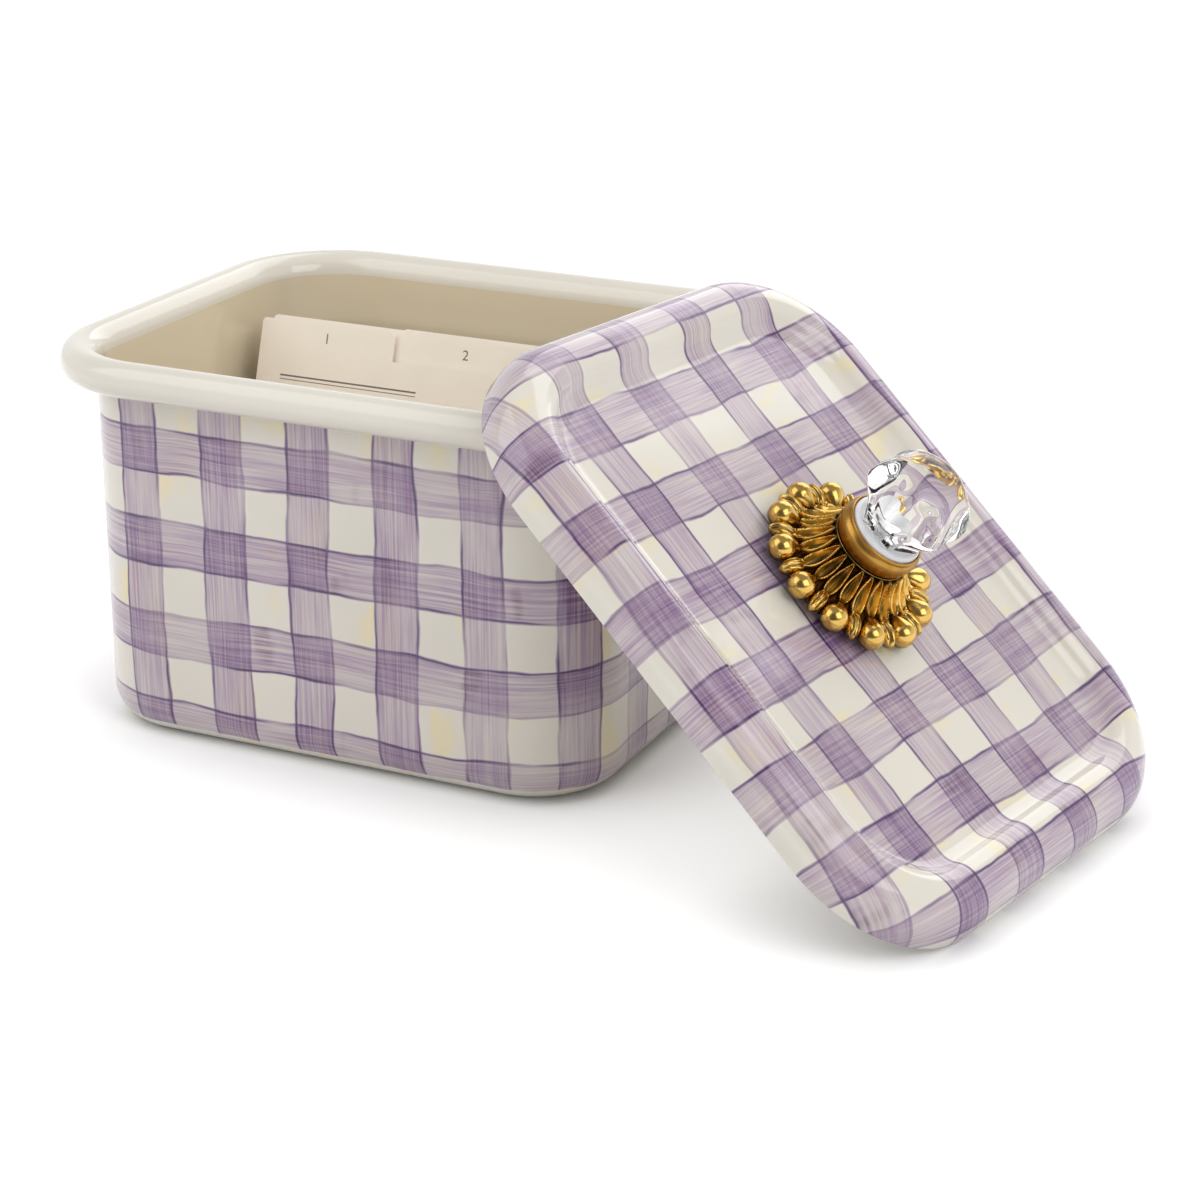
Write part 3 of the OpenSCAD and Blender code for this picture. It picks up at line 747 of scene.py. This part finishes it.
class CARDBOX_OT_plate(Operator):
    """Cast the fluted plate with its balls and leaf tips"""
    bl_idname = "card_box.plate"
    bl_label = "Cast plate"

    def execute(self, context):
        knob, lid = settings("knob"), settings("lid")
        up = knob_heights()
        hole, base, top = knob.stud + lid.gap, up["plate_base"], up["plate_top"]
        # The fluted top sweeps from under the collar to just inside the balls' centres. Below it
        # the casting is hollow, with a rim at its edge and a boss round the stud.
        neck, edge, rim = knob.collar - 0.0008, knob.ball_circle - 0.0012, up["ball"] - 0.0004
        bevel, wall, roof, boss = 0.0025, 0.0041, top - 0.0045, hole + 0.0025
        across, fall = edge - neck, top - rim
        half = math.hypot(across, fall) / 2
        radius = 2.4 * half
        lift = math.sqrt(radius ** 2 - half ** 2) / (2 * half)
        centre = (neck + across / 2 + fall * lift, top - fall / 2 + across * lift)
        swing = 2 * math.degrees(math.asin(half / radius))
        bm, counts = draw_section((hole, top), [
            (neck, top), (centre, swing, 60), (edge, base + bevel), (edge - bevel, base),
            (edge - wall, base), (edge - wall, rim - 0.0030), (neck, roof),
            (boss, roof), (boss, base), (hole, base), (hole, top)], closed=True)
        share = TURN / knob.balls
        start = knob.ball_turn - share / 2
        section = bm.verts[:] + bm.edges[:]
        bmesh.ops.rotate(bm, verts=bm.verts, cent=(0, 0, 0), matrix=Matrix.Rotation(start, 3, "Z"))
        bmesh.ops.spin(bm, geom=section, angle=share, steps=56, **AXIS)
        number = bm.verts.layers.int["chain"]
        hollow = bm.verts.layers.float.new("hollow")
        first, last = counts[1] - 1, counts[2] - 1
        plain, past_edge = 0.35, 1.25
        for vert in bm.verts:
            where = (vert[number] - first) / (last - first)
            vert[hollow] = plain
            if 0 <= where <= past_edge:
                out = Vector((vert.co.x, vert.co.y, 0))
                around = (math.atan2(out.y, out.x) - knob.ball_turn) / share * 2
                lift_by, vert[hollow] = self.relief(around, min(where, 1.0))
                if where <= 1.0:
                    slant = Vector((centre[0] - out.length, 0, centre[1] - vert.co.z)).normalized()
                    push = out.normalized() * slant.x + Vector((0, 0, slant.z))
                    vert.co += push * lift_by * knob.relief
        self.add_ball_and_leaf(bm, hollow, up)
        pattern = bm.verts[:] + bm.edges[:] + bm.faces[:]
        for i in range(1, knob.balls):
            made = bmesh.ops.duplicate(bm, geom=pattern)["geom"]
            bmesh.ops.rotate(bm, verts=only(made, BMVert), cent=(0, 0, 0),
                             matrix=Matrix.Rotation(i * share, 3, "Z"))
        bmesh.ops.remove_doubles(bm, verts=bm.verts, dist=2e-6)
        bmesh.ops.recalc_face_normals(bm, faces=bm.faces)
        sharpen(bm, 50)
        finish_piece(bm, "plate_casting", "lid", [cast_brass("Brass, cast and antiqued")],
                     ["escutcheon"], knob_place())
        return {"FINISHED"}

    @staticmethod
    def tongue(aside, where, begin, end, wide):
        """Rolled edge, scoop and outside of one tongue-shaped leaf that runs from begin to end."""
        along = (where - begin) / (end - begin)
        if not 0 < along < 1:
            return 0.0, 0.0, 1.0
        edge = wide * math.sin(math.pi * along ** 1.25) ** 0.55
        rolled = math.exp(-((aside - edge) / 0.1) ** 2)
        scoop = max(0.0, 1 - (aside / edge) ** 2) * smooth(edge, 0.1 * wide, 0.9 * wide)
        return rolled, scoop, smooth(aside - edge, 0.05, 0.17)

    # Where the long leaves, the shorter ones and the small ones end, as shares of the way from the
    # collar to the edge, and their half widths, as shares of the distance between leaves.
    STALK_LEAF, PLAIN_LEAF, SMALL_LEAF = 0.70, 0.80, 1.08
    LEAF_WIDE, SMALL_WIDE = 0.36, 0.3

    @classmethod
    def relief(cls, around, where):
        """Height and darkness of the cast leaves at one place; the darkness is antiqued brown in the scoops
        and between the leaves, and painted shadow just below the collar.

        around counts leaves, whole numbers on their middle lines. Every leaf is a long scooped
        tongue with a rolled edge; an even one ends in a ball's stalk, an odd one in a small leaf.
        """
        leaf = round(around)
        aside = abs(around - leaf)
        even = leaf % 2 == 0
        end = cls.STALK_LEAF if even else cls.PLAIN_LEAF
        rolled, scoop, outside = cls.tongue(aside, where, 0.0, end, cls.LEAF_WIDE)
        if even:
            stalk = math.exp(-(aside / 0.3) ** 2) * smooth(where, 0.66, 0.86)
            height = 0.9 * stalk
            outside *= 1 - stalk
        else:
            small = cls.tongue(aside, where, cls.STALK_LEAF, cls.SMALL_LEAF, cls.SMALL_WIDE)
            height = 0.3 * small[0]
            rolled, scoop, outside = (max(rolled, small[0]), max(scoop, 0.7 * small[1]),
                                      min(outside, small[2]))
        height += 0.5 * rolled - 0.85 * scoop - 0.55 * outside
        # Painted shadow: the leaves are darkened just below the collar, fading out over the first 0.12 of
        # the way to the edge.
        from_collar = smooth(where, 0.0, 0.12)
        dark = max(0.66 * scoop, 0.95 * outside) * (1 - 0.85 * rolled)
        return height * smooth(where, 0.0, 0.06), min(1.0, dark + 0.7 * (1 - from_collar))

    @staticmethod
    def add_ball_and_leaf(bm, hollow, up):
        """A round ball on a short stalk, and beside it a small folded leaf."""
        knob = settings("knob")
        # The side of the ball towards the plate is drawn out into a stalk.
        ball = bmesh.ops.create_uvsphere(bm, u_segments=32, v_segments=20, radius=knob.ball)["verts"]
        stalk = 0.0026
        for vert in ball:
            back = max(0.0, -vert.co.x / knob.ball - 0.35) / 0.65
            vert.co.x -= back ** 1.5 * stalk
            vert.co.y *= 1 - 0.35 * back
            # The ball's underside is darkened as painted shade; its side towards the stalk is darkened too,
            # partly antiquing in the joint and partly painted shade.
            under = smooth(-vert.co.z / knob.ball, -0.45, 0.8)
            vert[hollow] = max(0.6 * smooth(back, 0.25, 0.8), 0.75 * under)
        # A pointed leaf: long, narrow, and folded twice along its length.
        size, crease, crease_wide, deep = 0.0030, 0.0009, 0.0004, 0.0006
        leaf = bmesh.ops.create_uvsphere(bm, u_segments=48, v_segments=28, radius=size)["verts"]
        for vert in leaf:
            vert.co.x *= 1.5
            vert.co.y *= 0.82
            fold = math.exp(-((abs(vert.co.y) - crease) / crease_wide) ** 2)
            fold *= smooth(vert.co.z / size, 0.0, 0.3)
            vert.co.z -= deep * fold
            vert.co.x -= 0.35 * abs(vert.co.y)
            # The leaf's creases are darkened as antiquing; its underside is darkened as painted shade.
            vert[hollow] = max(0.65 * fold, 0.8 * smooth(-vert.co.z / size, -0.4, 0.8))
        for verts, turned, out, height in (
                (ball, 0.0, knob.ball_circle, up["ball"]),
                (leaf, math.pi / knob.balls, knob.ball_circle - 0.0012, up["ball"] - 0.0003)):
            place = Matrix.Rotation(knob.ball_turn + turned, 4, "Z") @ Matrix.Translation((out, 0, height))
            bmesh.ops.transform(bm, matrix=place, verts=verts)


class CARDBOX_OT_collar(Operator):
    """Turn the smooth collar and mould the white disc that sits in it"""
    bl_idname = "card_box.collar"
    bl_label = "Collar and disc"

    def execute(self, context):
        knob, lid, colours = settings("knob"), settings("lid"), settings("finish")
        up = knob_heights()
        hole, outer = knob.stud + lid.gap, knob.collar
        base, top = up["collar_base"], up["collar_top"]
        recess, foot, boss, roof = outer - 0.0015, outer - 0.0018, hole + 0.0025, top - 0.0031
        soft, lip, seat = 0.0005, outer - 0.0008, top - RECESS
        # The bellied side, as distances inside the largest radius and below the top.
        belly = ((0.0008, 0.0012), (0.0002, 0.0019), (0.00002, 0.0030), (0.0001, 0.0042))
        low = outer - 0.0009
        bm, _ = draw_section((boss, base), [
            (hole, base), (hole, seat), (recess, seat), (recess, top - soft / 2),
            ((recess + soft / 2, top - soft / 2), -90, 4), (lip - soft, top),
            ((lip - soft, top - soft), -90, 6), *[(outer - inward, top - down) for inward, down in belly],
            (outer - 0.0006, base + 0.0010), (low, base + soft), ((low - soft, base + soft), -90, 5),
            (foot, base), (foot, roof), (boss, roof), (boss, base)], closed=True)
        turn(bm, 128)
        sharpen(bm)
        finish_piece(bm, "collar_turning", "lid",
                     [turned_metal("Brass collar, turned and lacquered", colours.collar,
                                   linear("A97C38"), 0.27)], ["collar_ring"], knob_place())
        disc_base = up["disc_base"]
        disc_top = disc_base + knob.disc
        rim, rounded = recess - lid.gap, 0.0012
        bm, _ = draw_section((hole, disc_base), [
            (hole, disc_top), (rim - rounded, disc_top), ((rim - rounded, disc_top - rounded), -90, 10),
            (rim, disc_base), (hole, disc_base)], closed=True)
        turn(bm, 128)
        sharpen(bm)
        finish_piece(bm, "disc_moulding", "lid", [moulded_disc("Nylon disc, moulded")],
                     ["seat_disc"], knob_place())
        return {"FINISHED"}


class CARDBOX_OT_glass(Operator):
    """Press the glass knob: hexagonal neck, six soft lobes, low dome, blind bore"""
    bl_idname = "card_box.glass"
    bl_label = "Glass knob"

    def execute(self, context):
        knob, lid = settings("knob"), settings("lid")
        base, tall = knob_heights()["glass_base"], knob.glass_height
        bore = knob.stud + 2 * lid.gap + 0.0007
        # Distances outside the neck's radius, or inside the largest one, and heights above the seat.
        neck = ((-0.0004, 0.0), (0.0, 0.0005), (0.0001, 0.0020), (0.0008, 0.0036), (0.0026, 0.0052))
        crown = ((0.0014, 0.0076), (0.0003, 0.0100), (0.0, 0.0120), (0.0006, 0.0150), (0.0022, 0.0180),
                 (0.0050, 0.0210), (0.0088, 0.0234), (0.0125, 0.0245))
        profile = [(knob.neck + outward, height) for outward, height in neck]
        profile += [(knob.glass - inward, height) for inward, height in crown] + [(0.0, tall)]
        bm = bmesh.new()
        mouth = tip = bm.verts.new((bore, 0, base))
        for radius, height in self.smoothed(profile, 5):
            tip = draw_to(bm, tip, (radius, 0, base + height))
        deep = base + 0.22 * tall + lid.gap
        for radius in (bore, 0.0):
            mouth = draw_to(bm, mouth, (radius, 0, deep))
        turn(bm, 180)
        for vert in bm.verts:
            flat = Vector((vert.co.x, vert.co.y))
            if flat.length > bore + 1e-5:
                factor = self.outline(flat, vert.co.z - base, tall)
                vert.co.x *= factor
                vert.co.y *= factor
        bmesh.ops.recalc_face_normals(bm, faces=bm.faces)
        sharpen(bm, 24)
        finish_piece(bm, "knob_pressing", "lid",
                     [pressed_glass("Glass, pressed and fire polished")], ["glass_knob"], knob_place())
        return {"FINISHED"}

    @staticmethod
    def smoothed(points, steps):
        """Points of a smooth curve through the given ones."""
        path = []
        for i in range(len(points) - 1):
            a, b = points[max(0, i - 1)], points[i]
            c, d = points[i + 1], points[min(len(points) - 1, i + 2)]
            for k in range(steps):
                t = k / steps
                path.append(tuple(
                    0.5 * (2 * b[j] + (c[j] - a[j]) * t + (2 * a[j] - 5 * b[j] + 4 * c[j] - d[j]) * t ** 2
                           + (3 * b[j] - a[j] - 3 * c[j] + d[j]) * t ** 3) for j in (0, 1)))
        path.append(points[-1])
        return [(max(0.0, r), h) for r, h in path]

    @staticmethod
    def outline(flat, height, tall):
        """Radius factor: a sharp hexagon at the foot that turns into six soft lobes."""
        angle = math.atan2(flat.y, flat.x)
        sector = (angle + math.pi / 6) % (math.pi / 3) - math.pi / 6
        hexagon = math.cos(math.pi / 6) / math.cos(abs(sector) - math.pi / 6)
        lobes = 1 - 0.15 * (0.5 + 0.5 * math.cos(6 * angle)) ** 0.8
        crown = smooth(height, 0.72 * tall, 0.97 * tall)
        lobes = lobes * (1 - crown) + crown
        change = smooth(height, 0.16 * tall, 0.46 * tall)
        return hexagon * (1 - change) + lobes * change


class CARDBOX_OT_fixings(Operator):
    """Give the sleeve, stud, washer and nut their finishes"""
    bl_idname = "card_box.fixings"
    bl_label = "Fixings"

    def execute(self, context):
        dress("knob_insert", moulded_disc("Nylon sleeve, moulded"))
        zinc = turned_metal("Steel fixings, zinc plated", linear("D2D4D8"), linear("A9ACB2"), 0.28)
        for node in ("knob_stud", "stud_washer", "stud_nut"):
            dress(node, zinc)
        return {"FINISHED"}


class CARDBOX_OT_cards(Operator):
    """Give the cards their stock, and print numerals on the tabs and a rule on the front card"""
    bl_idname = "card_box.cards"
    bl_label = "Cards"

    def execute(self, context):
        cards, colours = settings("cards"), settings("finish")
        stock = card_stock("Card stock, uncoated ivory", colours.card, 0.4 * MM)
        ink = letterpress_ink("Ink, letterpress grey", colours.ink)
        for i in range(6):
            node = "divider_%d" % (i + 1)
            dress(node, stock)
            low, high = (Vector(corner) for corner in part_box(node))
            wide, deep, tall = high - low
            lean = cards.lean
            slant = Vector((0, math.sin(lean), math.cos(lean)))
            face = Vector((0, -math.cos(lean), math.sin(lean)))
            thick = (deep * math.cos(lean) - tall * math.sin(lean)) / math.cos(2 * lean)
            # The ink sinks a little into the card, and a numeral stands in the middle of its tab.
            corner = Vector((low.x, high.y - thick * math.cos(lean), high.z)) + face * cards.ink * 0.2
            middle = corner + Vector((wide * ((i % 3) + 0.5) / 3, 0, 0)) - slant * (cards.tab * 0.52)
            self.print_numeral(i, ink, middle, slant, face)
            if i == 0:
                self.print_rule(ink, corner, wide, slant, face)
        dress("recipe_cards", card_stock("Card stock, plain pack", colours.paper, 0.45 * MM))
        return {"FINISHED"}

    @staticmethod
    def frame_on_card(spot, slant, face):
        """Places flat artwork on a card: its X along the card, its Y up the card."""
        side = Vector((1, 0, 0))
        place = Matrix((side, slant, face)).transposed().to_4x4()
        place.translation = spot
        return place

    def print_numeral(self, index, ink, middle, slant, face):
        """One numeral as a thin layer of ink on a divider's tab."""
        cards = settings("cards")
        curve = bpy.data.curves.new("numeral", "FONT")
        curve.body = str(index + 1)
        curve.align_x, curve.align_y = "CENTER", "CENTER"
        curve.size = cards.numeral * 1.4  # a font's size is about 1.4 times its numerals' height
        curve.extrude = cards.ink / 2
        curve.resolution_u = 6
        helper = bpy.data.objects.new("numeral", curve)
        mesh = bpy.data.meshes.new_from_object(helper)
        bm = bmesh.new()
        bm.from_mesh(mesh)
        bpy.data.objects.remove(helper)
        bpy.data.curves.remove(curve)
        bpy.data.meshes.remove(mesh)
        bmesh.ops.remove_doubles(bm, verts=bm.verts, dist=1e-7)
        bmesh.ops.dissolve_degenerate(bm, dist=1e-6, edges=bm.edges)
        node = "divider_%d" % (index + 1)
        finish_piece(bm, "numeral_%d" % (index + 1), node + "_body", [ink], (),
                     self.frame_on_card(middle, slant, face))

    def print_rule(self, ink, corner, wide, slant, face):
        """A double rule under the front divider's tab, as on cards made to be filled in."""
        cards = settings("cards")
        bm = bmesh.new()
        # A heavy line over a light one, a third of the card long, near its left side.
        side, span, below, apart = 0.06 * wide, 0.34 * wide, 0.0185, 0.0013
        for row, weight in enumerate((1.6, 0.8)):
            place = Matrix.Translation((side + span / 2, -below - row * apart, 0))
            made = bmesh.ops.create_cube(bm, size=1.0, matrix=place @ Matrix.Diagonal(
                (span, cards.rule * weight, cards.ink, 1)))
            edges = list({e for v in made["verts"] for e in v.link_edges})
            bmesh.ops.bevel(bm, geom=edges, offset=cards.ink / 4, segments=1, profile=0.5,
                            affect="EDGES", material=-1)
        finish_piece(bm, "printed_rule", "divider_1_body", [ink], (),
                     self.frame_on_card(corner, slant, face))


class CARDBOX_OT_studio(Operator):
    """Lay the white floor, hang the soft lamps and place the camera"""
    bl_idname = "card_box.studio"
    bl_label = "Studio"

    def execute(self, context):
        studio = settings("studio")
        scene = context.scene
        if studio.floor:
            self.lay_floor()
        self.light_world(scene)
        # name, place, size, strength in watts, aim
        for name, place, size, watts, aim in (
                ("key_lamp", (-0.75, -0.75, 1.25), 1.3, 7.5, (0.05, 0, 0.05)),
                ("side_lamp", (1.35, -0.55, 0.95), 1.1, 8.5, (0.1, 0, 0.05)),
                ("back_lamp", (0.1, 1.3, 1.15), 1.4, 9.5, (0.05, 0, 0.08))):
            lamp = bpy.data.lights.new(name, "AREA")
            lamp.shape, lamp.size, lamp.energy = "SQUARE", size, watts
            self.stand(lamp, place, aim)
        # The photograph's viewpoint.
        back = Vector((math.sin(studio.azimuth) * math.cos(studio.elevation),
                       -math.cos(studio.azimuth) * math.cos(studio.elevation),
                       math.sin(studio.elevation)))
        camera = bpy.data.cameras.new("studio_camera")
        camera.lens, camera.sensor_width, camera.clip_start = studio.lens, 36.0, 0.02
        aim = Vector(studio.aim)
        scene.camera = self.stand(camera, aim + back * studio.distance, aim)
        scene.view_settings.view_transform = "Standard"
        return {"FINISHED"}

    @staticmethod
    def stand(data, place, aim):
        """Stands a lamp or the camera at a place, turned to the point that it aims at."""
        holder = bpy.data.objects.new(data.name, data)
        bpy.context.scene.collection.objects.link(holder)
        holder.location = place
        holder.rotation_euler = (Vector(aim) - Vector(place)).to_track_quat("-Z", "Y").to_euler()
        return holder

    @staticmethod
    def rays(tree):
        """Whether a ray is mirrored or refracted, and whether it is that or the camera's own."""
        path = put(tree, "LightPath").outputs
        mirrored = put(tree, "Math", (path["Is Glossy Ray"], path["Is Transmission Ray"]),
                       operation="MAXIMUM")
        return mirrored, put(tree, "Math", (path["Is Camera Ray"], mirrored), operation="MAXIMUM")

    def lay_floor(self):
        """Matt paper, white of its own to a ray that looks at it; it keeps the soft shadow."""
        bm = bmesh.new()
        bmesh.ops.create_grid(bm, x_segments=8, y_segments=8, size=4.0,
                              matrix=Matrix.Translation((0, 0, -0.0002)))
        material, tree, point = start_finish("Backdrop paper, white")
        fibre = put(tree, "TexNoise", {"Vector": point, "Scale": 1 / (1.1 * MM), "Detail": 2.0})
        tone = put(tree, "Mix", {0: fibre, 6: (0.87, 0.87, 0.87), 7: (0.86, 0.86, 0.86)}, **BLEND)
        paper = put(tree, "BsdfDiffuse", {"Color": tone, "Roughness": 0.5})
        # The sheet sweeps away from the lamps, so it is helped along beyond half a metre. Within
        # six centimetres of the object it keeps its shade, the tight dark line where a box stands.
        away = put(tree, "VectorMath", (point,), operation="LENGTH").outputs["Value"]
        glow = put(tree, "MapRange", (away, 0.5, 1.6, 0.38, 0.6))
        near = put(tree, "AmbientOcclusion", {"Distance": 0.06}, samples=12).outputs["AO"]
        bare = put(tree, "MapRange", (near, 0.3, 0.9))
        for part in (bare, self.rays(tree)[1]):
            glow = put(tree, "Math", (glow, part), operation="MULTIPLY")
        glow = put(tree, "Emission", {"Color": (1.0, 1.0, 1.0), "Strength": glow})
        put(tree, "OutputMaterial", (put(tree, "AddShader", (paper, glow)),))
        set_out(bm, "studio_floor", [material])

    def light_world(self, scene):
        """An even white room: plain light on the object, pure white where a ray sees it."""
        world = bpy.data.worlds.new("White room")
        scene.world = world
        world.use_nodes = True
        tree = world.node_tree
        tree.nodes.clear()
        mirrored, seen = self.rays(tree)
        # White walls down to the floor; a dimmer ceiling and a tent open to a dark room in front
        # give metal and glass some depth.
        way = put(tree, "TexCoord").outputs["Generated"]
        height = put(tree, "SeparateXYZ", (way,)).outputs[2]
        ceiling = put(tree, "MapRange", (height, 0.25, 0.75, 0.0, 0.6), **SOFT)
        front = put(tree, "VectorMath", (way, (0.38, -0.83, 0.41)), operation="DOT_PRODUCT")
        front = put(tree, "MapRange", (front.outputs["Value"], 0.55, 0.9, 0.0, 0.85), **SOFT)
        dim = put(tree, "Math", (ceiling, front), operation="MAXIMUM")
        dim = put(tree, "Math", (dim, mirrored), operation="MULTIPLY")
        strength = put(tree, "MapRange", {0: seen, 3: 0.6, 4: 1.0})
        strength = put(tree, "Math", (strength, dim), operation="SUBTRACT")
        light = put(tree, "Background", {"Color": (1.0, 1.0, 1.0), "Strength": strength})
        put(tree, "OutputWorld", (light,))


class CARDBOX_PT_sidebar(Panel):
    """Lists the pieces and their sizes"""
    bl_idname = "CARDBOX_PT_sidebar"
    bl_label = "Recipe card box"
    bl_space_type = "VIEW_3D"
    bl_region_type = "UI"
    bl_category = "Card Box"

    def draw(self, context):
        layout = self.layout
        for operator in OPERATORS:
            layout.operator(operator.bl_idname)
        for name in SETTINGS:
            box = layout.box()
            box.label(text=name.capitalize())
            group = settings(name)
            for key in group.__annotations__:
                box.prop(group, key)


OPERATORS = (CARDBOX_OT_tub, CARDBOX_OT_lid, CARDBOX_OT_plate, CARDBOX_OT_collar, CARDBOX_OT_glass,
             CARDBOX_OT_fixings, CARDBOX_OT_cards, CARDBOX_OT_studio)
CLASSES = tuple(SETTINGS.values()) + OPERATORS + (CARDBOX_PT_sidebar,)


def register():
    """Registers the classes and hangs the settings on the scene."""
    for cls in CLASSES:
        bpy.utils.register_class(cls)
    for name, group in SETTINGS.items():
        setattr(bpy.types.Scene, "card_box_" + name, PointerProperty(type=group))


def unregister():
    """Takes the settings and the classes away again."""
    for name in SETTINGS:
        delattr(bpy.types.Scene, "card_box_" + name)
    for cls in reversed(CLASSES):
        bpy.utils.unregister_class(cls)


def main():
    """Makes every piece and the studio."""
    register()
    for operator in OPERATORS:
        group, name = operator.bl_idname.split(".")
        getattr(getattr(bpy.ops, group), name)()


if __name__ == "__main__":
    main()
